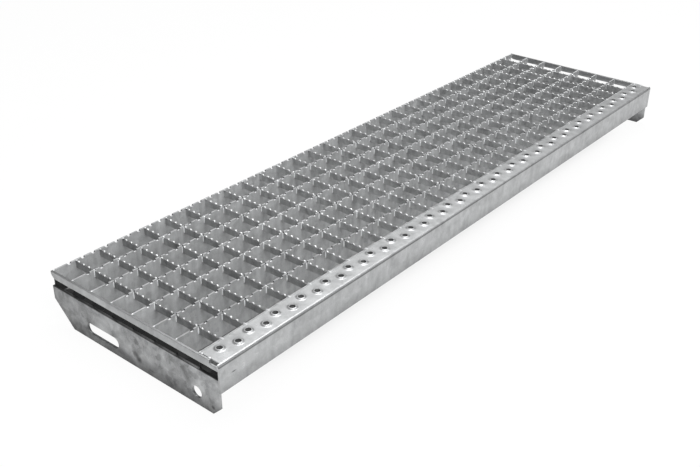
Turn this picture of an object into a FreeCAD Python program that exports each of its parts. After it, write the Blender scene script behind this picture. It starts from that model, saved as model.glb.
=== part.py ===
"""Steel stair tread: a serrated, press-locked grating between drilled end plates, with a perforated nosing.

Millimetres. X runs along the tread, -Y is its front edge and +Z is up. The origin is on the ground under the
middle of the tread, which stands on the bottom edges of its end plates.
"""
import FreeCAD
import Part
import Sketcher
import math
import os

# Driving dimensions: alias in the sheet, and size in millimetres or count
DIMENSIONS = (
    ("tread_length", "1000"),
    ("tread_depth", "270"),
    # Flat bar at the two ends
    ("end_thickness", "3"),
    ("plate_height", "47"),
    ("slit_height", "10"),
    ("binding_height", "9"),
    ("binding_round", "8"),
    ("relief_length", "12"),
    ("relief_depth", "4"),
    ("back_chamfer", "30"),
    ("front_chamfer", "10.5"),
    # Bolt hole and slot in each end plate
    ("bolt_diameter", "14"),
    ("bolt_height", "16"),
    ("bolt_setback", "36"),
    ("bolt_spacing", "150"),
    ("slot_length", "54"),
    # Grating
    ("bearing_count", "6"),
    ("bearing_height", "30"),
    ("bearing_thickness", "2"),
    ("cross_count", "29"),
    ("cross_height", "10"),
    ("cross_thickness", "2"),
    ("slot_clearance", "0.1"),
    ("tooth_count", "25"),
    ("tooth_depth", "2.5"),
    ("crest_drop", "0.1"),
    # Nosing
    ("nosing_width", "30"),
    ("nosing_drop", "35"),
    ("nosing_thickness", "2.5"),
    ("nosing_end_gap", "0.5"),
    ("dimple_count", "25"),
    ("dimple_hole", "5"),
    ("dimple_collar", "11"),
    ("dimple_rise", "1.5"),
    ("dimple_back_row", "10"),
    ("dimple_front_row", "16"),
)

# Sides of the small raised holes, which repeat along the nosing
DIMPLE_SIDES = 6
# How far a cutting outline reaches past the edge that it cuts, as a share of its own size
OVERCUT = 1.5
# A collar is drawn this much taller than its rim, and the hole trims it to height
COLLAR_OVERRUN = 1.1
# Largest share of a bar's height that the round at its corner may take
FILLET_SHARE = 0.9
# Two places nearer than this are one
FLATNESS = 1e-6

# Places worked out from the driving dimensions
HALF_LENGTH = "dims.tread_length / 2"
HALF_DEPTH = "dims.tread_depth / 2"
BAR_TOP = "(dims.plate_height + dims.slit_height + dims.binding_height)"
BEARING_BOTTOM = f"{BAR_TOP} - dims.bearing_height"
BAR_LENGTH = "(dims.tread_length - 2 * dims.end_thickness)"
BAR_SPAN = "(dims.tread_depth - dims.nosing_width - dims.bearing_thickness)"
CROSS_LENGTH = f"({BAR_SPAN} - dims.bearing_thickness)"
MESH_ALONG = "(dims.tread_length / (dims.cross_count + 1))"
MESH_ACROSS = f"({BAR_SPAN} / (dims.bearing_count + 1))"
TOOTH_PITCH = f"({CROSS_LENGTH} / dims.tooth_count)"
DIMPLE_PITCH = "(dims.tread_length / dims.dimple_count)"
END_LENGTH = "(dims.tread_depth - dims.nosing_thickness)"
END_FRONT = f"dims.nosing_thickness - {HALF_DEPTH}"
BOLT_RADIUS = "dims.bolt_diameter / 2"
COLLAR_RADIUS = "dims.dimple_collar / 2"
HOLE_RADIUS = "dims.dimple_hole / 2"

doc = FreeCAD.newDocument("stair_tread")
dims = doc.addObject("Spreadsheet::Sheet", "dims")
for row, (alias, size) in enumerate(DIMENSIONS, start=1):
    dims.set(f"A{row}", alias)
    dims.set(f"B{row}", size)
    dims.setAlias(f"B{row}", alias)
doc.recompute()


def number(text):
    """What an expression comes to with the sheet as it is."""
    return float(dims.evalExpression(text))


def put(item, along, across, up):
    """Bind a sub-part's place to the sheet."""
    item.setExpression("Placement.Base.x", along)
    item.setExpression("Placement.Base.y", across)
    item.setExpression("Placement.Base.z", up)


def new_body(label, along, across, up):
    body = doc.addObject("PartDesign::Body", label)
    body.Label = label
    put(body, along, across, up)
    return body


def repeat(original, label, along, across, up):
    """Another of a sub-part that is already modelled, with a name and a place of its own."""
    copy = doc.addObject("App::Link", label)
    copy.LinkedObject = original
    copy.Label = label
    put(copy, along, across, up)
    return copy


def origin_feature(body, role):
    return next(feature for feature in body.Origin.OriginFeatures if feature.Role == role)


def new_sketch(body, name, plane):
    sketch = body.newObject("Sketcher::SketchObject", name)
    sketch.AttachmentSupport = (origin_feature(body, plane), [""])
    sketch.MapMode = "FlatFace"
    return sketch


def bind(sketch, kind, places, text):
    """Add one dimension to a sketch and bind it to the sheet."""
    index = sketch.addConstraint(Sketcher.Constraint(kind, *places, number(text)))
    sketch.setExpression(f"Constraints[{index}]", text)


def bind_point(sketch, geometry, point, across, up):
    """Hold a point of a sketch at two distances from the sketch's origin."""
    bind(sketch, "DistanceX", (-1, 1, geometry, point), across)
    bind(sketch, "DistanceY", (-1, 1, geometry, point), up)


def outline(body, name, plane, corners):
    """Closed outline of straight lines, each corner given as two expressions."""
    sketch = new_sketch(body, name, plane)
    points = [FreeCAD.Vector(number(across), number(up), 0) for across, up in corners]
    following = points[1:] + points[:1]
    sketch.addGeometry([Part.LineSegment(start, end) for start, end in zip(points, following)])
    for line in range(len(points)):
        sketch.addConstraint(Sketcher.Constraint("Coincident", line, 2, (line + 1) % len(points), 1))
    for line, (across, up) in enumerate(corners):
        bind_point(sketch, line, 1, across, up)
    return sketch


def rectangle(body, name, plane, left, bottom, right, top):
    return outline(body, name, plane, [(left, bottom), (right, bottom), (right, top), (left, top)])


def pad(body, name, profile, length, sides="One side"):
    feature = body.newObject("PartDesign::Pad", name)
    feature.Profile = profile
    feature.SideType = sides
    feature.setExpression("Length", length)
    return feature


def cut_through(body, name, profile):
    feature = body.newObject("PartDesign::Pocket", name)
    feature.Profile = profile
    feature.SideType = "Symmetric"
    feature.Type = "ThroughAll"
    return feature


def row_of(body, name, originals, axis, spacing, count):
    """Repeat features of a body in a straight row, starting from the ones given."""
    doc.recompute()
    feature = body.newObject("PartDesign::LinearPattern", name)
    feature.Originals = originals
    feature.Direction = (origin_feature(body, axis), [""])
    feature.Mode = "Spacing"
    feature.setExpression("Offset", spacing)
    feature.setExpression("Occurrences", count)
    body.Tip = feature
    return feature


def edge_at(shape, across, up):
    """Name of the edge along X at a given place in the YZ plane."""
    for index, edge in enumerate(shape.Edges, start=1):
        ends = [vertex.Point for vertex in edge.Vertexes]
        if all(math.hypot(end.y - across, end.z - up) < FLATNESS for end in ends):
            return f"Edge{index}"
    raise ValueError(f"no edge at {across}, {up}")


def round_edge(body, name, feature, across, up, radius):
    doc.recompute()
    fillet = body.newObject("PartDesign::Fillet", name)
    fillet.Base = (feature, [edge_at(feature.Shape, number(across), number(up))])
    fillet.setExpression("Radius", radius)
    return fillet


def bar_place(index):
    """Place of a bar along the tread, counted forwards from the back edge."""
    return ("0", f"{HALF_DEPTH} - dims.bearing_thickness / 2 - {index} * {MESH_ACROSS}", BEARING_BOTTOM)


def flat_bar(label, place):
    """Plain bar on edge, the length of the tread between its ends."""
    body = new_body(label, *place)
    profile = rectangle(
        body, f"{label}_face", "XZ_Plane",
        f"-{BAR_LENGTH} / 2", "0", f"{BAR_LENGTH} / 2", "dims.bearing_height",
    )
    pad(body, f"{label}_bar", profile, "dims.bearing_thickness", "Symmetric")
    return body


def edge_bars():
    """Plain bars along the back edge and behind the nosing, between which the cross bars end."""
    back = flat_bar("back_bar", bar_place(0))
    return [back, repeat(back, "front_bar", *bar_place("(dims.bearing_count + 1)"))]


def bearing_bars():
    """Bearing bars between the edge bars, slotted from above for the cross bars."""
    first = flat_bar("bearing_bar_1", bar_place(1))
    middle = f"-(dims.cross_count - 1) / 2 * {MESH_ALONG}"
    half_width = "(dims.cross_thickness + dims.slot_clearance) / 2"
    slot = rectangle(
        first, "cross_slot", "XZ_Plane",
        f"{middle} - {half_width}", "dims.bearing_height - dims.cross_height",
        f"{middle} + {half_width}", f"dims.bearing_height + {OVERCUT} * dims.cross_thickness",
    )
    cut = cut_through(first, "cross_slot_cut", slot)
    row_of(first, "cross_slots", [cut], "X_Axis", MESH_ALONG, "dims.cross_count")
    count = int(number("dims.bearing_count"))
    others = [repeat(first, f"bearing_bar_{index}", *bar_place(index)) for index in range(2, count + 1)]
    return [first] + others


def cross_place(index):
    """Place of a cross bar, counted from the left end."""
    middle = "dims.nosing_width / 2"
    return (f"{index} * {MESH_ALONG} - {HALF_LENGTH}", middle, f"{BAR_TOP} - dims.cross_height")


def cross_bars():
    """Cross bars with a serrated top edge, pressed into the bearing bars from above."""
    first = new_body("cross_bar_01", *cross_place(1))
    profile = rectangle(
        first, "cross_face", "YZ_Plane",
        f"-{CROSS_LENGTH} / 2", "0", f"{CROSS_LENGTH} / 2", "dims.cross_height",
    )
    pad(first, "cross_bar", profile, "dims.cross_thickness", "Symmetric")
    # Neighbouring gullets meet in a crest just below the rolled top of the bar
    gullet_middle = f"({TOOTH_PITCH} - {CROSS_LENGTH}) / 2"
    gullet_bottom = "dims.cross_height - dims.tooth_depth"
    gullet_reach = f"{OVERCUT} * {TOOTH_PITCH} / 2"
    gullet_top = f"{gullet_bottom} + {OVERCUT} * (dims.tooth_depth - dims.crest_drop)"
    gullet = outline(first, "gullet", "YZ_Plane", [
        (gullet_middle, gullet_bottom),
        (f"{gullet_middle} + {gullet_reach}", gullet_top),
        (f"{gullet_middle} - {gullet_reach}", gullet_top),
    ])
    cut = cut_through(first, "gullet_cut", gullet)
    row_of(first, "teeth", [cut], "Y_Axis", TOOTH_PITCH, "dims.tooth_count")
    count = int(number("dims.cross_count"))
    others = [repeat(first, f"cross_bar_{index:02d}", *cross_place(index)) for index in range(2, count + 1)]
    return [first] + others


def both_ends(body, name, across, up):
    """Left end as modelled, and the right end as the same piece at the other end of the tread."""
    right = repeat(body, f"{name}_right", f"{HALF_LENGTH} - dims.end_thickness", across, up)
    return [body, right]


def end_bindings():
    """Narrow bars that close the grating's ends, relieved at the nosing and rounded at the back."""
    place = (END_FRONT, "dims.plate_height + dims.slit_height")
    body = new_body("end_binding_left", f"-{HALF_LENGTH}", *place)
    relief_top = "dims.binding_height - dims.relief_depth"
    profile = outline(body, "binding_face", "YZ_Plane", [
        ("0", "0"),
        (END_LENGTH, "0"),
        (END_LENGTH, "dims.binding_height"),
        ("dims.relief_length", "dims.binding_height"),
        ("dims.relief_length", relief_top),
        ("0", relief_top),
    ])
    bar = pad(body, "binding_bar", profile, "dims.end_thickness")
    radius = f"min(dims.binding_round; {FILLET_SHARE} * dims.binding_height)"
    round_edge(body, "binding_end", bar, END_LENGTH, "0", radius)
    return both_ends(body, "end_binding", *place)


def flat_circle(across, up, radius):
    centre = FreeCAD.Vector(number(across), number(up), 0)
    return Part.Circle(centre, FreeCAD.Vector(0, 0, 1), number(radius))


def bolt_slot(body, name, middle, up):
    """Long slot with round ends, as wide as the bolt hole."""
    sketch = new_sketch(body, name, "YZ_Plane")
    reach = "(dims.slot_length - dims.bolt_diameter) / 2"
    centres = (f"{middle} - {reach}", f"{middle} + {reach}")
    for centre, start in zip(centres, (math.pi / 2, -math.pi / 2)):
        sketch.addGeometry(Part.ArcOfCircle(flat_circle(centre, up, BOLT_RADIUS), start, start + math.pi))
    back, front = sketch.Geometry
    sketch.addGeometry(Part.LineSegment(back.StartPoint, front.EndPoint))
    sketch.addGeometry(Part.LineSegment(back.EndPoint, front.StartPoint))
    for arc, end, line, line_end in ((0, 1, 2, 1), (0, 2, 3, 1), (1, 1, 3, 2), (1, 2, 2, 2)):
        sketch.addConstraint(Sketcher.Constraint("Tangent", arc, end, line, line_end))
    for arc, centre in enumerate(centres):
        bind_point(sketch, arc, 3, centre, up)
        bind(sketch, "Radius", (arc,), BOLT_RADIUS)
    return sketch


def bolt_hole(body, name, middle, up):
    sketch = new_sketch(body, name, "YZ_Plane")
    sketch.addGeometry(flat_circle(middle, up, BOLT_RADIUS))
    bind_point(sketch, 0, 3, middle, up)
    bind(sketch, "Radius", (0,), BOLT_RADIUS)
    return sketch


def end_plates():
    """Plates that bolt to the stringers, with a round hole at the front and a slot towards the back."""
    place = (END_FRONT, "0")
    body = new_body("end_plate_left", f"-{HALF_LENGTH}", *place)
    profile = outline(body, "plate_face", "YZ_Plane", [
        ("dims.front_chamfer", "0"),
        (f"{END_LENGTH} - dims.back_chamfer", "0"),
        (END_LENGTH, "dims.back_chamfer"),
        (END_LENGTH, "dims.plate_height"),
        ("0", "dims.plate_height"),
        ("0", "dims.front_chamfer"),
    ])
    pad(body, "plate", profile, "dims.end_thickness")
    hole_middle = "dims.bolt_setback - dims.nosing_thickness"
    cut_through(body, "bolt_hole_cut", bolt_hole(body, "bolt_hole", hole_middle, "dims.bolt_height"))
    slot_middle = f"{hole_middle} + dims.bolt_spacing"
    cut_through(body, "bolt_slot_cut", bolt_slot(body, "bolt_slot", slot_middle, "dims.bolt_height"))
    return both_ends(body, "end_plate", *place)


def upright_faces(shape):
    """Names of the upright faces that stand on the sheet's top."""
    boxes = [face.BoundBox for face in shape.Faces]
    return [
        f"Face{index}" for index, box in enumerate(boxes, start=1)
        if box.ZMin > -FLATNESS and box.ZMax > box.ZMin + FLATNESS
    ]


def even_corners(along, across, radius):
    """Corners of a small regular outline about a centre."""
    turns = [f"{360 * corner / DIMPLE_SIDES} deg" for corner in range(DIMPLE_SIDES)]
    return [(f"{along} + {radius} * cos({turn})", f"{across} + {radius} * sin({turn})") for turn in turns]


def dimple_row(body, name, start, across, count):
    """Row of holes whose rims are pushed up out of the sheet, with sloping sides."""
    collar = outline(body, f"{name}_collar", "XY_Plane", even_corners(start, across, COLLAR_RADIUS))
    raised = pad(body, f"{name}_rise", collar, f"{COLLAR_OVERRUN} * dims.dimple_rise")
    doc.recompute()
    run = f"{math.cos(math.pi / DIMPLE_SIDES)} * ({COLLAR_RADIUS} - {HOLE_RADIUS})"
    slope = body.newObject("PartDesign::Draft", f"{name}_slope")
    slope.Base = (raised, upright_faces(raised.Shape))
    slope.NeutralPlane = (origin_feature(body, "XY_Plane"), [""])
    slope.SupportTransform = True
    slope.setExpression("Angle", f"atan({run} / dims.dimple_rise)")
    hole = outline(body, f"{name}_hole", "XY_Plane", even_corners(start, across, HOLE_RADIUS))
    cut = cut_through(body, f"{name}_cut", hole)
    row_of(body, f"{name}_row", [slope, cut], "X_Axis", DIMPLE_PITCH, count)


def nosing():
    """Folded sheet along the front edge: a raised-hole top, flush with the bars, and a leg down the front."""
    body = new_body("nosing", "0", f"-{HALF_DEPTH}", BAR_TOP)
    profile = outline(body, "nosing_section", "YZ_Plane", [
        ("0", "0"),
        ("0", "-dims.nosing_drop"),
        ("dims.nosing_thickness", "-dims.nosing_drop"),
        ("dims.nosing_thickness", "-dims.nosing_thickness"),
        ("dims.nosing_width", "-dims.nosing_thickness"),
        ("dims.nosing_width", "0"),
    ])
    sheet = pad(body, "nosing_sheet", profile, "dims.tread_length", "Symmetric")
    round_edge(body, "nosing_bend", sheet, "0", "0", "dims.nosing_thickness")
    # The top stops short of the bindings, and the leg runs on over their ends
    top_end = f"{HALF_LENGTH} - dims.end_thickness - dims.nosing_end_gap"
    end_cut = rectangle(
        body, "top_end", "XY_Plane", top_end, "dims.nosing_thickness",
        f"{HALF_LENGTH} + dims.end_thickness", f"{OVERCUT} * dims.nosing_width",
    )
    cut = cut_through(body, "top_end_cut", end_cut)
    doc.recompute()
    mirrored = body.newObject("PartDesign::Mirrored", "top_ends")
    mirrored.Originals = [cut]
    mirrored.MirrorPlane = (origin_feature(body, "YZ_Plane"), [""])
    body.Tip = mirrored
    back_row = "dims.nosing_width - dims.dimple_back_row"
    front_row = "dims.nosing_width - dims.dimple_front_row"
    start = f"{DIMPLE_PITCH} / 2 - {HALF_LENGTH}"
    dimple_row(body, "back_dimple", start, back_row, "dims.dimple_count")
    dimple_row(body, "front_dimple", f"{start} + {DIMPLE_PITCH} / 2", front_row, "dims.dimple_count - 1")
    return body


def write(sub_parts):
    """Check every object and shape, then write one file for each sub-part."""
    doc.recompute()
    failed = [item.Label for item in doc.Objects if {"Invalid", "Error"} & set(item.State)]
    if failed:
        raise RuntimeError(f"failed: {failed}")
    shapes = {item.Label: Part.getShape(item) for item in sub_parts}
    bad = [label for label, shape in shapes.items() if shape.isNull() or not shape.isValid()]
    if bad:
        raise RuntimeError(f"bad shapes: {bad}")
    os.makedirs("parts", exist_ok=True)
    for label, shape in shapes.items():
        shape.exportStep(f"parts/{label}.step")


write([*edge_bars(), *bearing_bars(), *cross_bars(), *end_bindings(), *end_plates(), nosing()])
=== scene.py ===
"""Looks of a galvanised steel stair tread, dressed over its CAD frame.

Metres, in the frame of the CAD: X along the tread, -Y out of its nosing and +Z up.
"""
import bmesh
import bpy
import math
import random
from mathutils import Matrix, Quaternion, Vector


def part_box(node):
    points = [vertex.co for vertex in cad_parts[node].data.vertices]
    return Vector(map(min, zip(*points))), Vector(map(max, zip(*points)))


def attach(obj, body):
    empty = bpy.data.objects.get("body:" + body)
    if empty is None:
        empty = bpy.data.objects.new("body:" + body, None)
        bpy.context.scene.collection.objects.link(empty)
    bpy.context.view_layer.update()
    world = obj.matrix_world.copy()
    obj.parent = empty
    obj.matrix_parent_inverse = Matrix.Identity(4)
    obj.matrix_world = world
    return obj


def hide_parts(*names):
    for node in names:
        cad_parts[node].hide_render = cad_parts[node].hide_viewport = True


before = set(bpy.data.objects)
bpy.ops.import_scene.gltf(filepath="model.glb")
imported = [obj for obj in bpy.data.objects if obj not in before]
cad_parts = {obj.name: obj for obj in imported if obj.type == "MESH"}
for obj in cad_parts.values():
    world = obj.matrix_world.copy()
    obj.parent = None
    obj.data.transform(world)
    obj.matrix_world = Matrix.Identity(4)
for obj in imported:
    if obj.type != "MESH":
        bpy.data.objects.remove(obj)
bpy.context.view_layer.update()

MM = 0.001

# Places read from the frame
BACK_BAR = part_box("back_bar")
FRONT_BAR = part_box("front_bar")
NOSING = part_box("nosing")
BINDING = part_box("end_binding_left")
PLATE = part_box("end_plate_left")
BEARING_BARS = sorted(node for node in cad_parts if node.startswith("bearing_bar"))
CROSS_BARS = sorted(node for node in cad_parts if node.startswith("cross_bar"))
LONG_BARS = ["back_bar", *BEARING_BARS, "front_bar"]
BAR_TOP = BACK_BAR[1].z
BAR_BOTTOM = BACK_BAR[0].z
BAR_START = BACK_BAR[0].x
BAR_END = BACK_BAR[1].x
BAR_HALF = (BACK_BAR[1].y - BACK_BAR[0].y) / 2


def middle(node):
    low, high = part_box(node)
    return (low + high) / 2


CROSSINGS = [middle(node).x for node in CROSS_BARS]

# Bars: rolled edges, notches and pressed slots
BAR_EDGE = 0.25 * MM
NOTCH_OFFSET = 9.4 * MM
NOTCH_WIDTH = 4.8 * MM
NOTCH_DEPTH = 2.2 * MM
SLOT_HALF_TOP = 1.05 * MM
SLOT_HALF_BOTTOM = 1.02 * MM
SLOT_DEPTH = 10 * MM
SCALLOP_STEPS = 8
# Teeth of the cross bars, which keep clear of the ends of their bar; the pitch differs from bar to bar
TOOTH_PITCH = (8.95 * MM, 9.5 * MM)
TOOTH_WIDTH = 4.4 * MM
TOOTH_RISE = 1.7 * MM
TOOTH_MARGIN = 0.8 * MM

# Nosing: folded sheet with raised holes, one to a column along its top
SHEET = 2.5 * MM
SHEET_TOP = BAR_TOP
SHEET_EDGE = 0.5 * MM
SHEET_END_GAP = 0.5 * MM
SHEET_END = BAR_END - SHEET_END_GAP
COLUMN = 20 * MM
COLUMN_STEPS = 10
HOLE_BACK_ROW = 10 * MM
HOLE_FRONT_ROW = 16 * MM
BEND_STEPS = 6
# Radius and height above the sheet of the rings from a raised hole's foot, over its rim and down inside it
RAISED_HOLE = [
    (7.2, 0.0), (6.5, 0.06), (5.8, 0.3), (5.2, 0.72), (4.65, 1.12), (4.2, 1.4), (3.8, 1.5), (3.45, 1.42),
    (3.2, 1.15), (3.1, 0.6), (3.1, -0.6), (3.25, -1.2), (3.7, -1.75), (4.5, -2.3), (5.2, -2.5),
]
# Rings that bound the wall inside a hole, which carries a painted shade
HOLE_WALL = (8, 14)

# Ends: rounded edges of the cut plate, and the angles at which an edge is sharp and faces are one
PLATE_EDGE = 0.45 * MM
EDGE_STEPS = 2
EDGE_PROFILE = 0.5
SHARP_ANGLE = math.radians(32)
FLAT_ANGLE = math.radians(1)
SAME_PLACE = 0.002 * MM

# Lumps of weld metal and zinc: rings along and round each, fullness of the ends and swelling
# from ring to ring
BEAD_STEPS = 6
BEAD_SIDES = 8
BEAD_FULLNESS = 0.65
BEAD_SWELL = (0.88, 1.12)
# Welds on top of a bar's end: how far inside that end and below the bar tops their two tips lie
TOP_WELD_TIPS = ((-0.8 * MM, 0.8 * MM), (3 * MM, 1.1 * MM))
TOP_WELD_RADIUS = 1.3 * MM
# Upright welds beside a bar's end: offsets from its corner, then bottom, top and radius of each
UPRIGHT_WELD_SIDE = 0.2 * MM
UPRIGHT_WELD_INSET = 0.3 * MM
UPRIGHT_WELDS = (
    (BAR_BOTTOM + MM, PLATE[1].z - MM, 1.5 * MM),
    (BINDING[0].z + MM, BAR_TOP - 1.5 * MM, 1.2 * MM),
)
# Welds between nosing and binding: distances behind the front face, and their shape
NOSING_WELDS = (28 * MM, 16.7 * MM)
NOSING_WELD_OUT = 0.2 * MM
NOSING_WELD_HALF = 2.4 * MM
NOSING_WELD_RADIUS = 1.7 * MM
NOSING_WELD_FLAT = 0.75
# Upright welds behind the nosing's leg: offset from it, then place along, bottom, top and radius of each
TREAD_END = NOSING[1].x
LEG_WELD_BACK = 0.4 * MM
LEG_WELDS = (
    (TREAD_END - 0.8 * MM, BAR_TOP - 6 * MM, BAR_TOP - MM, 1.4 * MM),
    (BAR_END, NOSING[0].z + 2 * MM, PLATE[1].z - 2 * MM, 1.5 * MM),
)
# Burr on the top edge of the left plate
BURR_TIPS = (
    (-TREAD_END, 87.6 * MM, PLATE[1].z - 1.4 * MM),
    (0.4 * MM - TREAD_END, 89 * MM, PLATE[1].z + 1.2 * MM),
)
BURR_RADIUS = 0.6 * MM
# Zinc in the corners of a crossing: offsets from the bars, bottom, top and radius
FILLET_ALONG = 1.15 * MM
FILLET_ACROSS = 0.15 * MM
FILLET_BOTTOM = BAR_TOP - SLOT_DEPTH + 0.5 * MM
FILLET_TOP = BAR_TOP - 1.2 * MM
FILLET_RADIUS = 0.75 * MM
# Zinc over the ends of the cross bars: reach past the edge bars in millimetres, flatness, and for each row
# its end on the edge bar, the height of its other end and its radius
RUN_REACH = (1.6, 2.8)
RUN_FLAT = 0.5
FRONT_RUN_START = (FRONT_BAR[1].y + 1.5 * MM, BAR_TOP - 0.3 * MM)
FRONT_RUN_TOP = BAR_TOP - 0.2 * MM
FRONT_RUN_RADIUS = 1.7 * MM
BACK_RUN_TOP = BAR_TOP - 0.6 * MM
BACK_RUN_END = (BACK_BAR[0].y + 1.6 * MM, BAR_TOP - 0.4 * MM)
BACK_RUN_RADIUS = 1.5 * MM


def skin(name, points, faces):
    """Mesh with outward faces, smooth apart from its sharp edges."""
    shape = bmesh.new()
    corners = [shape.verts.new(point) for point in points]
    for face in faces:
        shape.faces.new([corners[index] for index in face])
    return closed_skin(name, shape)


def closed_skin(name, shape):
    bmesh.ops.remove_doubles(shape, verts=shape.verts, dist=SAME_PLACE)
    bmesh.ops.recalc_face_normals(shape, faces=shape.faces)
    mesh = bpy.data.meshes.new(name)
    shape.to_mesh(mesh)
    shape.free()
    mesh.polygons.foreach_set("use_smooth", [True] * len(mesh.polygons))
    mesh.set_sharp_from_angle(angle=SHARP_ANGLE)
    return mesh


def loft(sections):
    """Points and faces of a skin over a row of closed outlines, with both ends capped."""
    count = len(sections[0])
    points = [point for section in sections for point in section]
    faces = []
    for row in range(len(sections) - 1):
        for index in range(count):
            following = (index + 1) % count
            low, high = row * count, (row + 1) * count
            faces.append((low + index, low + following, high + following, high + index))
    faces.append(tuple(range(count)))
    faces.append(tuple(range(len(points) - count, len(points))))
    return points, faces


def piece(name, mesh, material, slot, *nodes):
    """Piece of the tread that rides on it, and stands for the CAD nodes named."""
    made = bpy.data.objects.new(name, mesh)
    bpy.context.scene.collection.objects.link(made)
    mesh.materials.append(material)
    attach(made, "root")
    if nodes:
        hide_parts(*nodes)
    return made


def scallop(centre, width, depth, top):
    """Stations of a round notch in the top of a bar, or of a tooth on it where the depth is negative."""
    turns = [math.pi * step / SCALLOP_STEPS for step in range(SCALLOP_STEPS + 1)]
    return [(centre - width / 2 * math.cos(turn), top - depth * math.sin(turn)) for turn in turns]


def bar(stations, bottom, half, place):
    """Points and faces of a bar on edge, from its height at stations along it."""
    sections = []
    for along, top in stations:
        outline = [
            (-half, bottom + BAR_EDGE), (-half, top - BAR_EDGE),
            (-half + BAR_EDGE, top), (half - BAR_EDGE, top),
            (half, top - BAR_EDGE), (half, bottom + BAR_EDGE),
            (half - BAR_EDGE, bottom), (-half + BAR_EDGE, bottom),
        ]
        sections.append([place(along, across, up) for across, up in outline])
    return loft(sections)


def pressed_slot(centre):
    """Stations of the slot that a cross bar is pressed into."""
    floor = BAR_TOP - SLOT_DEPTH
    return [
        (centre - SLOT_HALF_TOP, BAR_TOP), (centre - SLOT_HALF_BOTTOM, floor),
        (centre + SLOT_HALF_BOTTOM, floor), (centre + SLOT_HALF_TOP, BAR_TOP),
    ]


def long_bar(node, slotted, material):
    """Bar along the tread, with a notch on each side of every crossing."""
    across = middle(node).y
    stations = [(BAR_START, BAR_TOP)]
    for centre in CROSSINGS:
        stations += scallop(centre - NOTCH_OFFSET, NOTCH_WIDTH, NOTCH_DEPTH, BAR_TOP)
        if slotted:
            stations += pressed_slot(centre)
        stations += scallop(centre + NOTCH_OFFSET, NOTCH_WIDTH, NOTCH_DEPTH, BAR_TOP)
    stations.append((BAR_END, BAR_TOP))
    shape = bar(stations, BAR_BOTTOM, BAR_HALF, lambda along, side, up: (along, across + side, up))
    return piece(f"{node}_notched", skin(node, *shape), material, "grating_steel", node)


def cross_bar(node, material):
    """Cross bar with rounded teeth, which start at a place of their own on each bar."""
    low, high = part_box(node)
    along_tread = middle(node).x
    chance = random.Random(node)
    pitch = chance.uniform(*TOOTH_PITCH)
    clear = TOOTH_WIDTH / 2 + TOOTH_MARGIN
    tooth = low.y + clear + chance.uniform(0, 1) * pitch
    root = high.z - TOOTH_RISE
    stations = [(low.y, root)]
    while tooth < high.y - clear:
        stations += scallop(tooth, TOOTH_WIDTH, -TOOTH_RISE, root)
        tooth += pitch
    stations.append((high.y, root))
    half = (high.x - low.x) / 2
    shape = bar(stations, low.z, half, lambda along, side, up: (along_tread + side, along, up))
    return piece(f"{node}_serrated", skin(node, *shape), material, "grating_steel", node)


def nosing_point(along, back, up):
    """Point of the nosing, from its distance behind the front face and its height above the sheet's top."""
    return Vector((along, NOSING[0].y + back, SHEET_TOP + up))


def evenly(start, end, steps):
    return [start + (end - start) * step / steps for step in range(steps + 1)]


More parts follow.
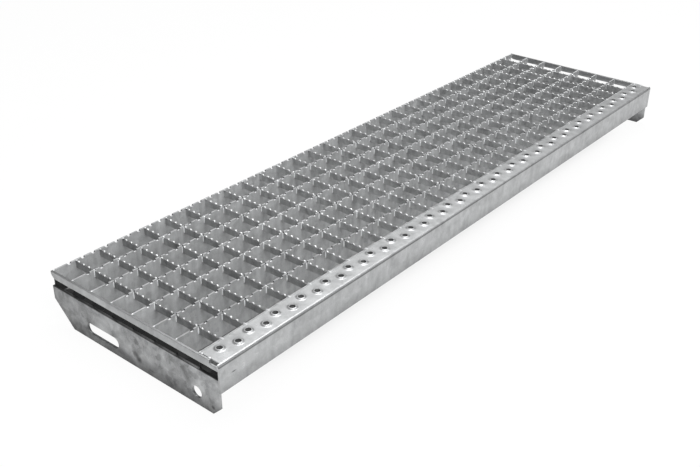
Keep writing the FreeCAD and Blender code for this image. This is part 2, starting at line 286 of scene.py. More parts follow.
class Nosing:
    """Folded sheet, gathered face by face: columns with a raised hole each, plain ends, bend and leg."""

    def __init__(self):
        self.shape = bmesh.new()
        self.width = NOSING[1].y - NOSING[0].y
        self.backs = evenly(SHEET, self.width - SHEET_EDGE, COLUMN_STEPS)
        self.drop = SHEET_TOP - NOSING[0].z

    def face(self, *points, material=0):
        made = self.shape.faces.new([self.shape.verts.new(point) for point in points])
        made.material_index = material

    def strip(self, first, second, material=0):
        """Faces between two rows with equal numbers of points."""
        for index in range(len(first) - 1):
            self.face(first[index], first[index + 1], second[index + 1], second[index], material=material)

    def border(self, left, right, up):
        """Edge of one column, all round, at the top or the underside of the sheet."""
        alongs = evenly(left, right, COLUMN_STEPS)
        loop = [(along, self.backs[0]) for along in alongs[:-1]]
        loop += [(right, back) for back in self.backs[:-1]]
        loop += [(along, self.backs[-1]) for along in reversed(alongs[1:])]
        loop += [(left, back) for back in reversed(self.backs[1:])]
        return [(along, back, up) for along, back in loop]

    def column(self, left, right, hole_back):
        centre = (left + right) / 2
        upper, under = self.border(left, right, 0), self.border(left, right, -SHEET)
        turns = [math.atan2(back - hole_back, along - centre) for along, back, _ in upper]
        loops = [upper]
        for radius, up in RAISED_HOLE:
            reach = radius * MM
            loops.append([
                (centre + reach * math.cos(turn), hole_back + reach * math.sin(turn), up * MM)
                for turn in turns
            ])
        loops.append(under)
        for ring, (first, second) in enumerate(zip(loops, loops[1:])):
            outer = [nosing_point(*place) for place in first]
            inner = [nosing_point(*place) for place in second]
            self.strip(outer + outer[:1], inner + inner[:1], int(ring in range(*HOLE_WALL)))

    def plain_end(self, inner, outer):
        """Flat end of the top, between the last column and the end of the sheet."""
        for up in (0, -SHEET):
            self.strip(*[[nosing_point(along, back, up) for back in self.backs] for along in (inner, outer)])
        self.strip(*[[nosing_point(outer, back, up) for back in self.backs] for up in (0, -SHEET)])

    def leg_section(self):
        """Bend and leg, from the sheet's top at the bend to its underside."""
        turns = evenly(math.pi / 2, math.pi, BEND_STEPS)
        section = [(SHEET + SHEET * math.cos(turn), -SHEET + SHEET * math.sin(turn)) for turn in turns]
        section += [
            (0, -self.drop + SHEET_EDGE), (SHEET_EDGE, -self.drop),
            (SHEET - SHEET_EDGE, -self.drop), (SHEET, -self.drop + SHEET_EDGE), (SHEET, -SHEET),
        ]
        return section

    def back_section(self):
        """Rounded back edge of the top."""
        return [
            (self.width - SHEET_EDGE, 0), (self.width, -SHEET_EDGE),
            (self.width, -SHEET + SHEET_EDGE), (self.width - SHEET_EDGE, -SHEET),
        ]

    def run(self, section, alongs):
        """Section carried along the tread."""
        rows = [[nosing_point(along, back, up) for back, up in section] for along in alongs]
        for first, second in zip(rows, rows[1:]):
            self.strip(first, second)
        return rows

    def build(self):
        holes = round(2 * (SHEET_END - COLUMN / 2) / COLUMN)
        first = -holes * COLUMN / 2
        edges = [first + COLUMN * index for index in range(holes + 1)]
        rows = (self.width - HOLE_BACK_ROW, self.width - HOLE_FRONT_ROW)
        for index, (left, right) in enumerate(zip(edges, edges[1:])):
            self.column(left, right, rows[index % 2])
        self.plain_end(edges[0], -SHEET_END)
        self.plain_end(edges[-1], SHEET_END)
        fine = evenly(edges[0], edges[-1], holes * COLUMN_STEPS)
        top = [-SHEET_END, *fine, SHEET_END]
        for end in self.run(self.back_section(), top)[::len(top) - 1]:
            self.face(*end)
        leg = self.run(self.leg_section(), [NOSING[0].x, *top, NOSING[1].x])
        for end, inner in ((leg[0], leg[1]), (leg[-1], leg[-2])):
            self.face(*end)
            self.face(end[-1], end[0], inner[0], inner[-1])
        return closed_skin("nosing", self.shape)


def softened(node, material, slot):
    """Copy of a CAD node with its cut edges rounded over."""
    shape = bmesh.new()
    shape.from_mesh(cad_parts[node].data)
    bmesh.ops.remove_doubles(shape, verts=shape.verts, dist=SAME_PLACE)
    bmesh.ops.dissolve_limit(shape, angle_limit=FLAT_ANGLE, verts=shape.verts, edges=shape.edges)
    sharp = [edge for edge in shape.edges if edge.calc_face_angle(0) > SHARP_ANGLE]
    bmesh.ops.bevel(
        shape, geom=sharp, offset=PLATE_EDGE, segments=EDGE_STEPS, profile=EDGE_PROFILE,
        affect="EDGES", clamp_overlap=True,
    )
    return piece(f"{node}_rounded", closed_skin(node, shape), material, slot, node)


class Beads:
    """Lumps of weld metal and zinc, gathered in one skin."""

    def __init__(self, name):
        self.name = name
        self.shape = bmesh.new()
        self.chance = random.Random(name)

    def add(self, start, end, radius, flat=1):
        """Uneven lump from start to end, with its height made a share of its width."""
        start, end = Vector(start), Vector(end)
        side = (end - start).orthogonal().normalized()
        other = (end - start).cross(side).normalized()
        rings = []
        for step in range(1, BEAD_STEPS):
            turn = math.pi * step / BEAD_STEPS
            centre = start.lerp(end, (1 - math.cos(turn)) / 2)
            reach = radius * math.sin(turn) ** BEAD_FULLNESS * self.chance.uniform(*BEAD_SWELL)
            ring = []
            for corner in range(BEAD_SIDES):
                angle = math.tau * corner / BEAD_SIDES
                offset = reach * (math.cos(angle) * side + math.sin(angle) * other)
                offset.z *= flat
                ring.append(self.shape.verts.new(centre + offset))
            rings.append(ring)
        for first, second in zip(rings, rings[1:]):
            self.bridge(first, second)
        for tip, ring in ((start, rings[0]), (end, rings[-1])):
            peak = self.shape.verts.new(tip)
            for corner in range(BEAD_SIDES):
                self.shape.faces.new((peak, ring[corner - 1], ring[corner]))

    def bridge(self, first, second):
        for corner in range(BEAD_SIDES):
            self.shape.faces.new((first[corner - 1], first[corner], second[corner], second[corner - 1]))

    def finish(self, material, slot):
        return piece(self.name, closed_skin(self.name, self.shape), material, slot)


def end_welds(side, sign, material):
    """Welds of one end: bars to plate and binding, and nosing to binding and plate."""
    beads = Beads(f"weld_beads_{side}")
    inner = sign * BAR_END
    for node in LONG_BARS:
        across = middle(node).y
        tips = [(inner - sign * inward, across, BAR_TOP - below) for inward, below in TOP_WELD_TIPS]
        beads.add(*tips, TOP_WELD_RADIUS)
        for face in (-1,) if node == "back_bar" else (-1, 1):
            beside = across + face * (BAR_HALF + UPRIGHT_WELD_SIDE)
            corner = inner - sign * UPRIGHT_WELD_INSET
            for bottom, top, radius in UPRIGHT_WELDS:
                beads.add((corner, beside, bottom), (corner, beside, top), radius)
    joint = sign * (SHEET_END + NOSING_WELD_OUT)
    for back in NOSING_WELDS:
        place = NOSING[0].y + back
        beads.add((joint, place - NOSING_WELD_HALF, BAR_TOP), (joint, place + NOSING_WELD_HALF, BAR_TOP),
                  NOSING_WELD_RADIUS, NOSING_WELD_FLAT)
    behind_leg = NOSING[0].y + SHEET + LEG_WELD_BACK
    for along, bottom, top, radius in LEG_WELDS:
        beads.add((sign * along, behind_leg, bottom), (sign * along, behind_leg, top), radius)
    if side == "left":
        beads.add(*BURR_TIPS, BURR_RADIUS)
    beads.finish(material, "end_steel")


def zinc_fillets(material):
    """Zinc that gathered where the cross bars are pressed into the bearing bars."""
    beads = Beads("zinc_fillets")
    for crossing in CROSSINGS:
        for node in BEARING_BARS:
            across = middle(node).y
            for along_side in (-1, 1):
                for across_side in (-1, 1):
                    beside = across + across_side * (BAR_HALF + FILLET_ACROSS)
                    corner = (crossing + along_side * FILLET_ALONG, beside)
                    beads.add((*corner, FILLET_BOTTOM), (*corner, FILLET_TOP), FILLET_RADIUS)
    beads.finish(material, "grating_steel")


def zinc_runs(material):
    """Zinc that ran over the ends of the cross bars."""
    beads = Beads("zinc_runs")
    for crossing in CROSSINGS:
        reach = beads.chance.uniform(*RUN_REACH) * MM
        beads.add((crossing, *FRONT_RUN_START), (crossing, FRONT_BAR[0].y - reach, FRONT_RUN_TOP),
                  FRONT_RUN_RADIUS, RUN_FLAT)
        beads.add((crossing, BACK_BAR[0].y - reach, BACK_RUN_TOP), (crossing, *BACK_RUN_END),
                  BACK_RUN_RADIUS, RUN_FLAT)
    beads.finish(material, "grating_steel")


# Zinc: scales of its clouds, run marks, grain and crystals for each metre, and how they are drawn
NOISE_ROUGHNESS = 0.55
CLOUD_SCALE = 45
CLOUD_DETAIL = 5
CLOUD_DISTORTION = 0.6
RUN_MARK_SCALE = 170
RUN_MARK_STRETCH = (1, 1, 0.16)
GRAIN_SCALE = 900
GRAIN_DETAIL = 2
CRYSTAL_SCALE = 160
# Weights of crystals and grain in its tone, and tones between which its grey and its roughness change
CRYSTAL_WEIGHT = 0.12
GRAIN_WEIGHT = 0.26
GREY_TONES = (0.48, 0.88)
ROUGH_TONES = (0.46, 0.91)
ROUGH_SPREAD = 0.08
# Relief of its skin, and its faint cool cast
BUMP_STRENGTH = 0.18
BUMP_DISTANCE = 0.4 * MM
BUMP_GRAIN = 0.5
COOL_CAST = (0.985, 1, 1.01)

# Shares of the normal, upwards or along the tread, between which a face turns into another kind
TOP_FACING = (0.4, 0.9)
CREST_FACING = (0.3, 0.8)
NOTCH_FACING = (0.6, 0.95)
WALL_FACING = (0.4, 0.8)
# Painted shade at the left bar ends: fall for each step inwards, unevenness, fade about that slope and light
# left
BLACK_SLOPE = 0.84
BLACK_NOISE = 300
BLACK_UNEVEN = 1.5 * MM
BLACK_FADE = (-1.5 * MM, 0.5 * MM)
BLACK_LIGHT = 0.07
# Plates: painted shade along the foot and along the top rim, and painted light and shade from front to back
FOOT_NOISE = 60
FOOT_UNEVEN = 6 * MM
FOOT_FADE = (4 * MM, 26 * MM)
FOOT_LIGHT = 0.22
RIM_FADE = (PLATE[1].z - 1.2 * MM, PLATE[1].z - 0.3 * MM)
RIM_LIGHT = 0.2
PLATE_LIGHT = (1.12, 0.72)
# Stains: unevenness, fade in shares of their reach and light left
STAIN_NOISE = 200
STAIN_UNEVEN = 0.6
STAIN_FADE = (0.7, 1.5)
STAIN_LIGHT = 0.3
# Stains on the left plate: place across and up and reach, in millimetres, and reach into the plate
PLATE_STAINS = ((-4, 18, 5), (-9, 13, 4.5), (-122, 8, 2.5))
PLATE_STAIN_DEPTH = 20 * MM
# Nosing: scratch, and painted shade in a line under its bend and along its hem
SCRATCH_AT = (-481 * MM, NOSING[0].y, 49 * MM)
SCRATCH_REACH = (3.5 * MM, 10 * MM, 0.8 * MM)
LINE_HEIGHT = SHEET_TOP - 2.9 * MM
LINE_FADE = (0.4 * MM, 1.5 * MM)
LINE_LIGHT = 0.35
HEM_FADE = (NOSING[0].z, NOSING[0].z + 16 * MM)
HEM_LIGHT = 0.7
# Bindings: painted shade on their tops
BINDING_TOP_LIGHT = 0.62
# Cross bars: painted highlight on crests over painted shade below, painted shade on roots and towards the
# left end
CREST_FADE = (BAR_TOP - 1.5 * MM, BAR_TOP - 0.6 * MM)
CREST_LIGHT = (0.8, 1.45)
ROOT_FADE = (BAR_TOP - 1.7 * MM, BAR_TOP - 0.9 * MM)
ROOT_LIGHT = 0.55
LEFT_FADE = (CROSSINGS[0], CROSSINGS[0] + 200 * MM)
LEFT_LIGHT = 0.62
# Grating's right end: painted shade on faces and highlight on tops, where it begins and is full, and its
# change
FAR_FADE = (180 * MM, 450 * MM)
FAR_CHANGE = (-0.24, 0.7)
# Bearing bars: painted shade towards the front, painted highlight on notch floors and painted shade on their
# walls
FRONT_FADE = (-75 * MM, -20 * MM)
FRONT_LIGHT = 0.78
NOTCH_FADE = (BAR_TOP - 1.6 * MM, BAR_TOP - 0.8 * MM)
NOTCH_CHANGE = (1.2, -0.1)
WALL_LIGHT = 0.3


class Finish:
    """Procedural zinc, put together node by node."""

    def __init__(self, name):
        self.material = bpy.data.materials.new(name)
        self.material.use_nodes = True
        self.tree = self.material.node_tree
        self.shader = self.tree.nodes["Principled BSDF"]
        self.place = self.node("ShaderNodeTexCoord").outputs["Object"]
        axes = self.node("ShaderNodeSeparateXYZ")
        self.join(self.place, axes, "Vector")
        self.along, self.across, self.height = axes.outputs

    def node(self, kind, **settings):
        made = self.tree.nodes.new(kind)
        for name, value in settings.items():
            setattr(made, name, value)
        return made

    def join(self, output, node, socket):
        self.tree.links.new(output, node.inputs[socket])

    def noise(self, scale, stretch=(1, 1, 1), detail=3, distortion=0):
        """Cloudy value from 0 to 1, stretched along some axes."""
        spread = self.node("ShaderNodeMapping")
        spread.inputs["Scale"].default_value = [scale * share for share in stretch]
        self.join(self.place, spread, "Vector")
        clouds = self.node("ShaderNodeTexNoise")
        clouds.inputs["Scale"].default_value = 1
        clouds.inputs["Detail"].default_value = detail
        clouds.inputs["Roughness"].default_value = NOISE_ROUGHNESS
        clouds.inputs["Distortion"].default_value = distortion
        self.join(spread.outputs["Vector"], clouds, "Vector")
        return clouds.outputs["Fac"]

    def spangle(self, scale):
        """Value that differs from one zinc crystal to the next."""
        cells = self.node("ShaderNodeTexVoronoi")
        cells.inputs["Scale"].default_value = scale
        self.join(self.place, cells, "Vector")
        grey = self.node("ShaderNodeSeparateColor")
        self.join(cells.outputs["Color"], grey, "Color")
        return grey.outputs["Red"]

    def sum(self, *parts):
        """Weighted sum of values."""
        total = None
        for value, weight in parts:
            term = self.node("ShaderNodeMath", operation="MULTIPLY_ADD")
            self.join(value, term, 0)
            term.inputs[1].default_value = weight
            if total is None:
                term.inputs[2].default_value = 0
            else:
                self.join(total, term, 2)
            total = term.outputs[0]
        return total

    def ramp(self, value, positions, colours):
        """Colour that runs from the first of two to the second."""
        shades = self.node("ShaderNodeValToRGB")
        self.join(value, shades, "Fac")
        for point, position, colour in zip(shades.color_ramp.elements, positions, colours):
            point.position = position
            point.color = (*colour, 1)
        return shades.outputs["Color"]

    def spread(self, value, low, high, to_low, to_high):
        ranged = self.node("ShaderNodeMapRange")
        self.join(value, ranged, "Value")
        for name, number in (("From Min", low), ("From Max", high), ("To Min", to_low), ("To Max", to_high)):
            ranged.inputs[name].default_value = number
        return ranged.outputs["Result"]

    def scaled(self, colour, share):
        shaded = self.node("ShaderNodeVectorMath", operation="SCALE")
        self.join(colour, shaded, "Vector")
        self.join(share, shaded, "Scale")
        return shaded.outputs["Vector"]

    def away(self, centre, reach):
        """Distance from a place, in shares of a reach along each axis."""
        offset = self.node("ShaderNodeVectorMath", operation="SUBTRACT")
        self.join(self.place, offset, 0)
        offset.inputs[1].default_value = centre
        share = self.node("ShaderNodeVectorMath", operation="DIVIDE")
        self.join(offset.outputs["Vector"], share, 0)
        share.inputs[1].default_value = reach
        length = self.node("ShaderNodeVectorMath", operation="LENGTH")
        self.join(share.outputs["Vector"], length, 0)
        return length.outputs["Value"]

    def facing(self, axis):
        """Share of the surface's normal along an axis."""
        axes = self.node("ShaderNodeSeparateXYZ")
        self.join(self.node("ShaderNodeNewGeometry").outputs["True Normal"], axes, "Vector")
        return axes.outputs[axis]

    def size(self, value):
        """Value without its sign."""
        plain = self.node("ShaderNodeMath", operation="ABSOLUTE")
        self.join(value, plain, 0)
        return plain.outputs[0]

    def product(self, first, second):
        both = self.node("ShaderNodeMath", operation="MULTIPLY")
        self.join(first, both, 0)
        self.join(second, both, 1)
        return both.outputs[0]

    def bump(self, value, strength, distance):
        relief = self.node("ShaderNodeBump")
        relief.inputs["Strength"].default_value = strength
        relief.inputs["Distance"].default_value = distance
        self.join(value, relief, "Height")
        self.join(relief.outputs["Normal"], self.shader, "Normal")


def cool_grey(value):
    """Neutral grey with the faintest cool cast."""
    return [value * share for share in COOL_CAST]


def zinc(name, dark, light, *shades, metallic, rough, streaks, crest=None, specular=0.5):
    """Hot-dip zinc: cloudy greys with crystals, run marks and a grainy skin, darker or lighter by shades,
    most of them painted light and shade.

    Its metallic share can differ on crests, which face up and are worn bright.
    """
    finish = Finish(name)
    clouds = finish.noise(CLOUD_SCALE, detail=CLOUD_DETAIL, distortion=CLOUD_DISTORTION)
    runs = finish.noise(RUN_MARK_SCALE, RUN_MARK_STRETCH)
    grain = finish.noise(GRAIN_SCALE, detail=GRAIN_DETAIL)
    crystals = finish.spangle(CRYSTAL_SCALE)
    tone = finish.sum(
        (clouds, 1 - streaks), (runs, streaks), (crystals, CRYSTAL_WEIGHT), (grain, GRAIN_WEIGHT),
    )
    colour = finish.ramp(tone, GREY_TONES, (cool_grey(dark), cool_grey(light)))
    for shade in shades:
        colour = finish.scaled(colour, shade(finish))
    finish.join(colour, finish.shader, "Base Color")
    roughness = finish.spread(tone, *ROUGH_TONES, rough + ROUGH_SPREAD, rough - ROUGH_SPREAD)
    finish.join(roughness, finish.shader, "Roughness")
    if crest is None:
        finish.shader.inputs["Metallic"].default_value = metallic
    else:
        worn = finish.spread(finish.facing("Z"), *CREST_FACING, metallic, crest)
        finish.join(worn, finish.shader, "Metallic")
    finish.shader.inputs["Specular IOR Level"].default_value = specular
    finish.bump(finish.sum((grain, BUMP_GRAIN), (clouds, 1)), BUMP_STRENGTH, BUMP_DISTANCE)
    return finish.material


def painted_end_shade(finish):
    """Painted shade in the corners at the left bar ends, below a slope down from the binding."""
    slope = finish.sum(
        (finish.height, 1), (finish.along, BLACK_SLOPE), (finish.noise(BLACK_NOISE), BLACK_UNEVEN),
    )
    level = BINDING[0].z - BLACK_SLOPE * BAR_END
    return finish.spread(slope, level + BLACK_FADE[0], level + BLACK_FADE[1], BLACK_LIGHT, 1)


def painted_foot_shade(finish):
    """Painted shade along the lower edge, darker towards the bottom."""
    level = finish.sum((finish.height, 1), (finish.noise(FOOT_NOISE), FOOT_UNEVEN))
    return finish.spread(level, *FOOT_FADE, FOOT_LIGHT, 1)


def painted_rim_shade(finish):
    """Painted shade along the top edge of a plate, in the slit under the binding."""
    return finish.spread(finish.height, *RIM_FADE, 1, RIM_LIGHT)


def stain(finish, centre, reach):
    """Dark spot with an uneven edge."""
    spot = finish.sum((finish.away(centre, reach), 1), (finish.noise(STAIN_NOISE), STAIN_UNEVEN))
    return finish.spread(spot, *STAIN_FADE, STAIN_LIGHT, 1)


def plate_stains(finish):
    """Smudge and dot on the outside of the left plate."""
    total = None
    for across, up, radius in PLATE_STAINS:
        reach = (PLATE_STAIN_DEPTH, radius * MM, radius * MM)
        clear = stain(finish, (PLATE[0].x, across * MM, up * MM), reach)
        total = finish.product(total, clear) if total else clear
    return total


def painted_plate_light(finish):
    """Painted light and shade: plates lighter towards the front and darker towards the back."""
    return finish.spread(finish.across, 0, PLATE[1].y, *PLATE_LIGHT)


def scratch(finish):
    """Scratch near the left end of the nosing's front."""
    return stain(finish, SCRATCH_AT, SCRATCH_REACH)


def painted_bend_shade(finish):
    """Painted shade: a dark line along the front of the nosing, just under its bend."""
    offset = finish.node("ShaderNodeMath", operation="SUBTRACT")
    finish.join(finish.height, offset, 0)
    offset.inputs[1].default_value = LINE_HEIGHT
    return finish.spread(finish.size(offset.outputs[0]), *LINE_FADE, LINE_LIGHT, 1)


def painted_hem_shade(finish):
    """Painted shade along the lower edge of the nosing."""
    return finish.spread(finish.height, *HEM_FADE, HEM_LIGHT, 1)


def painted_top_shade(finish):
    """Painted shade on the upper faces of the bindings."""
    return finish.spread(finish.facing("Z"), *TOP_FACING, 1, BINDING_TOP_LIGHT)


def painted_crest_highlight(finish):
    """Painted highlight on the crests of the cross bars, over painted shade below them."""
    return finish.spread(finish.height, *CREST_FADE, *CREST_LIGHT)


def painted_root_shade(finish):
    """Painted shade on the floors between the teeth of the cross bars."""
    level = finish.spread(finish.height, *ROOT_FADE, 1, 0)
    share = finish.product(finish.spread(finish.facing("Z"), *TOP_FACING, 0, 1), level)
    return finish.spread(share, 0, 1, 1, ROOT_LIGHT)


def painted_left_shade(finish):
    """Painted shade on the cross bars, growing towards the left end."""
    return finish.spread(finish.along, *LEFT_FADE, LEFT_LIGHT, 1)


def painted_far_light(finish):
    """Painted shade on faces and painted highlight on tops, growing towards the right end."""
    share = finish.spread(finish.along, *FAR_FADE, 0, 1)
    change = finish.product(share, finish.spread(finish.facing("Z"), *TOP_FACING, *FAR_CHANGE))
    return finish.spread(change, -1, 1, 0, 2)


def painted_front_shade(finish):
    """Painted shade on the bearing bars, a little darker towards the nosing."""
    return finish.spread(finish.across, *FRONT_FADE, FRONT_LIGHT, 1)


def painted_notch_highlight(finish):
    """Painted highlight on the floors of the notches, with a little painted shade on the lands."""
    level = finish.spread(finish.height, *NOTCH_FADE, *NOTCH_CHANGE)
    change = finish.product(finish.spread(finish.facing("Z"), *NOTCH_FACING, 0, 1), level)
    return finish.spread(change, 0, 1, 1, 2)


def painted_wall_shade(finish):
    """Painted shade on the walls of the notches and slots."""
    return finish.spread(finish.size(finish.facing("X")), *WALL_FACING, 1, WALL_LIGHT)


# Finishes: dark and light grey, then the shades that change them, most of them painted light and shade
BEARING_ZINC = zinc(
    "bearing_zinc", 0.27, 0.47, painted_end_shade, painted_front_shade, painted_far_light, painted_notch_highlight, painted_wall_shade,
    metallic=0, rough=0.42, streaks=0.5, crest=0.5, specular=0.2,
)
CROSS_ZINC = zinc(
    "cross_zinc", 0.28, 0.68, painted_crest_highlight, painted_root_shade, painted_left_shade, painted_far_light,
    metallic=0.15, rough=0.38, streaks=0.4, crest=0.8,
)
NOSING_ZINC = zinc(
    "nosing_zinc", 0.34, 0.52, painted_bend_shade, painted_hem_shade, scratch, metallic=0.85, rough=0.34, streaks=0.35,
)
BINDING_ZINC = zinc("binding_zinc", 0.34, 0.46, painted_top_shade, metallic=0.8, rough=0.42, streaks=0.25)
PLATE_ZINC = zinc(
    "plate_zinc", 0.17, 0.45, painted_foot_shade, painted_rim_shade, painted_plate_light, plate_stains,
    metallic=0.8, rough=0.45, streaks=0.15,
)
WELD_ZINC = zinc("weld_zinc", 0.45, 0.62, painted_end_shade, metallic=0.6, rough=0.34, streaks=0)
# Zinc in the corners of the crossings, lighter than the bars: a painted highlight, faded towards the right
# end
FILLET_HIGHLIGHT_ZINC = zinc("fillet_zinc_painted_highlight", 0.75, 0.9, painted_far_light, painted_far_light, metallic=0, rough=0.4, streaks=0)
# Dark zinc for the walls inside the raised holes: a painted shade
HOLE_SHADE_ZINC = zinc("hole_zinc_painted_shade", 0.08, 0.14, metallic=0.5, rough=0.5, streaks=0)

long_bar("back_bar", False, BEARING_ZINC)
for bearing in BEARING_BARS:
    long_bar(bearing, True, BEARING_ZINC)
for cross in CROSS_BARS:
    cross_bar(cross, CROSS_ZINC)
nosing = piece("nosing_folded", Nosing().build(), NOSING_ZINC, "nosing_steel", "nosing")
# Second material of the nosing: the painted shade inside its holes
nosing.data.materials.append(HOLE_SHADE_ZINC)
for side, sign in (("left", -1), ("right", 1)):
    softened(f"end_binding_{side}", BINDING_ZINC, "end_steel")
    softened(f"end_plate_{side}", PLATE_ZINC, "end_steel")
    end_welds(side, sign, WELD_ZINC)
softened("front_bar", BEARING_ZINC, "grating_steel")
zinc_fillets(FILLET_HIGHLIGHT_ZINC)
zinc_runs(WELD_ZINC)

# Studio: camera, floor, sky and softboxes
CAMERA_AT = (-0.9804, -0.6824, 0.6162)
CAMERA_HEADING = math.radians(38.908)
CAMERA_TILT = math.radians(-29.308)
CAMERA_ROLL = math.radians(0.65)
CAMERA_LENS = 48.02
CAMERA_SENSOR = 36
FLOOR_SIZE = 400
FLOOR_GLOW = 0.94
FLOOR_COLOUR = 0.75
FLOOR_ROUGHNESS = 0.9
FLOOR_SPECULAR = 0.1
# Shadow painted under the tread: colour, depth, and where it fades at the ends, the front and the back
SHADE_COLOUR = 0.03
SHADE_DEPTH = 0.75
SHADE_ENDS = (360 * MM, 476 * MM)
SHADE_FRONT = (50 * MM, 135 * MM)
SHADE_BACK = (95 * MM, 215 * MM)
# Deep shadow that grows towards the left end plate: distances to the left and to the front
CORE_INNER = (200 * MM, 449 * MM)
CORE_OUTER = (461 * MM, 474 * MM)
CORE_FRONT = (88 * MM, 104 * MM)
# Slanted edges at the back of that shadow: distance to the back for each step to the left, and where it fades
CORE_BACK_SLANT = -0.8
CORE_BACK = (-184 * MM, -158 * MM)
CORE_CORNER_SLANT = 1.69
CORE_CORNER = (962 * MM, 978 * MM)
# Sky: strength overhead, heights and sides between which it dims, and how much it loses there
SKY_STRENGTH = 0.5
SKY_HEIGHTS = (0.1, 0.65)
SKY_LOW_LOSS = 0.8
SKY_SIDES = (-0.8, 0.4)
SKY_LEFT_LOSS = 0.6
# Brighter part of the sky behind the tread, on the right: strength, and where it begins
GLOW_STRENGTH = 0.85
GLOW_HEIGHTS = (0.2, 0.62)
GLOW_BACK = (-0.1, 0.3)
GLOW_RIGHT = (-0.2, 0.3)
# Softboxes: name, place, aim, size across and up, and power
SOFTBOXES = (
    ("overhead", (0.25, 0.05, 1.7), (0.25, 0.05, 0), (1.6, 0.9), 19),
    ("key", (-0.8, -2.5, 3.1), (0, 0, 0), (2.2, 2.2), 104),
    ("fill", (-1.8, -2.4, 1.8), (0, 0, 0), (2, 2), 32),
    ("accent", (2.2, -1.4, 2.0), (0, 0, 0), (1.4, 1.4), 10),
)


def camera():
    lens = bpy.data.cameras.new("camera")
    lens.sensor_width = CAMERA_SENSOR
    lens.lens = CAMERA_LENS
    eye = bpy.data.objects.new("camera", lens)
    bpy.context.scene.collection.objects.link(eye)
    level = math.cos(CAMERA_TILT)
    sight = Vector((
        level * math.cos(CAMERA_HEADING), level * math.sin(CAMERA_HEADING), math.sin(CAMERA_TILT),
    ))
    eye.location = CAMERA_AT
    eye.rotation_mode = "QUATERNION"
    eye.rotation_quaternion = sight.to_track_quat("-Z", "Y") @ Quaternion((0, 0, 1), CAMERA_ROLL)
    bpy.context.scene.camera = eye


class Paint:
    """Shader nodes of a stage material or of the sky."""

    def __init__(self, tree):
        self.nodes, self.links = tree.nodes, tree.links

    def math(self, operation, *values):
        made = self.nodes.new("ShaderNodeMath")
        made.operation = operation
        for socket, value in zip(made.inputs, values):
            if isinstance(value, bpy.types.NodeSocket):
                self.links.new(value, socket)
            else:
                socket.default_value = value
        return made.outputs[0]

    def product(self, first, *others):
        for other in others:
            first = self.math("MULTIPLY", first, other)
        return first

    def fade(self, value, start, end):
        """1 below start and 0 above end."""
        ranged = self.nodes.new("ShaderNodeMapRange")
        ranged.interpolation_type = "SMOOTHSTEP"
        self.links.new(value, ranged.inputs["Value"])
        for name, number in (("From Min", start), ("From Max", end), ("To Min", 1), ("To Max", 0)):
            ranged.inputs[name].default_value = number
        return ranged.outputs["Result"]


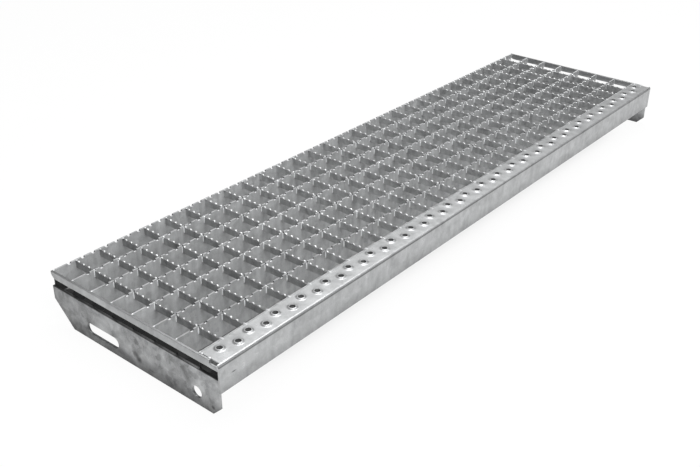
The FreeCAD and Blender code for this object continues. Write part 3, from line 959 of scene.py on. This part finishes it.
def floor():
    """White floor that keeps a faint shadow, with one painted under the tread that is deep at the left."""
    half = FLOOR_SIZE / 2
    mesh = bpy.data.meshes.new("floor")
    corners = [(-half, -half, 0), (half, -half, 0), (half, half, 0), (-half, half, 0)]
    mesh.from_pydata(corners, [], [(0, 1, 2, 3)])
    ground = bpy.data.objects.new("floor", mesh)
    bpy.context.scene.collection.objects.link(ground)
    material = bpy.data.materials.new("floor")
    material.use_nodes = True
    paint = Paint(material.node_tree)
    nodes, links = paint.nodes, paint.links
    place = nodes.new("ShaderNodeSeparateXYZ")
    links.new(nodes.new("ShaderNodeTexCoord").outputs["Object"], place.inputs["Vector"])
    leftward = paint.math("MULTIPLY", place.outputs["X"], -1)
    forward = paint.math("MULTIPLY", place.outputs["Y"], -1)
    soft = paint.product(
        paint.fade(paint.math("ABSOLUTE", leftward), *SHADE_ENDS),
        paint.fade(forward, *SHADE_FRONT), paint.fade(place.outputs["Y"], *SHADE_BACK), SHADE_DEPTH,
    )
    core = paint.product(
        paint.math("SUBTRACT", 1, paint.fade(leftward, *CORE_INNER)), paint.fade(leftward, *CORE_OUTER),
        paint.fade(forward, *CORE_FRONT),
    )
    for slant, ends in ((CORE_BACK_SLANT, CORE_BACK), (CORE_CORNER_SLANT, CORE_CORNER)):
        slanted = paint.math("MULTIPLY_ADD", leftward, slant, place.outputs["Y"])
        core = paint.product(core, paint.fade(slanted, *ends))
    lit = paint.product(paint.math("SUBTRACT", 1, soft), paint.math("SUBTRACT", 1, core))
    white = nodes["Principled BSDF"]
    white.inputs["Roughness"].default_value = FLOOR_ROUGHNESS
    white.inputs["Specular IOR Level"].default_value = FLOOR_SPECULAR
    colour = nodes.new("ShaderNodeMix")
    colour.data_type = "RGBA"
    colour.inputs["A"].default_value = (*[SHADE_COLOUR] * 3, 1)
    colour.inputs["B"].default_value = (*[FLOOR_COLOUR] * 3, 1)
    links.new(lit, colour.inputs["Factor"])
    links.new(colour.outputs["Result"], white.inputs["Base Color"])
    rays = nodes.new("ShaderNodeLightPath").outputs
    seen = paint.math("MAXIMUM", rays["Is Camera Ray"], rays["Is Glossy Ray"])
    seen = paint.math("MAXIMUM", seen, rays["Is Transmission Ray"])
    glow = nodes.new("ShaderNodeEmission")
    mix = nodes.new("ShaderNodeMixShader")
    links.new(paint.product(seen, lit, FLOOR_GLOW), mix.inputs["Fac"])
    links.new(white.outputs["BSDF"], mix.inputs[1])
    links.new(glow.outputs["Emission"], mix.inputs[2])
    links.new(mix.outputs["Shader"], nodes["Material Output"].inputs["Surface"])
    mesh.materials.append(material)


def sky():
    """Studio light that dims towards the horizon and the left, and glows behind the tread on the right."""
    world = bpy.data.worlds.new("studio")
    bpy.context.scene.world = world
    world.use_nodes = True
    paint = Paint(world.node_tree)
    nodes, links = paint.nodes, paint.links
    direction = nodes.new("ShaderNodeSeparateXYZ")
    links.new(nodes.new("ShaderNodeTexCoord").outputs["Generated"], direction.inputs["Vector"])
    low = paint.fade(direction.outputs["Z"], *SKY_HEIGHTS)
    left = paint.fade(direction.outputs["X"], *SKY_SIDES)
    dim = paint.math("MULTIPLY_ADD", low, -SKY_LOW_LOSS, 1)
    dim = paint.math("MULTIPLY", dim, paint.math("MULTIPLY_ADD", left, -SKY_LEFT_LOSS, 1))
    glow = GLOW_STRENGTH
    for axis, (start, end) in (("X", GLOW_RIGHT), ("Y", GLOW_BACK), ("Z", GLOW_HEIGHTS)):
        beyond = paint.math("SUBTRACT", 1, paint.fade(direction.outputs[axis], start, end))
        glow = paint.math("MULTIPLY", beyond, glow)
    total = paint.math("MULTIPLY_ADD", dim, SKY_STRENGTH, glow)
    links.new(total, nodes["Background"].inputs["Strength"])
    nodes["Background"].inputs["Color"].default_value = (1, 1, 1, 1)


def softbox(name, at, aim, size, power):
    """Area light, with its size across and up."""
    lamp = bpy.data.lights.new(name, "AREA")
    lamp.shape = "RECTANGLE"
    lamp.size, lamp.size_y = size
    lamp.energy = power
    holder = bpy.data.objects.new(name, lamp)
    bpy.context.scene.collection.objects.link(holder)
    holder.location = at
    holder.rotation_mode = "QUATERNION"
    holder.rotation_quaternion = (Vector(aim) - Vector(at)).to_track_quat("-Z", "Y")


camera()
floor()
sky()
for lamp_values in SOFTBOXES:
    softbox(*lamp_values)
bpy.context.scene.view_settings.view_transform = "Standard"
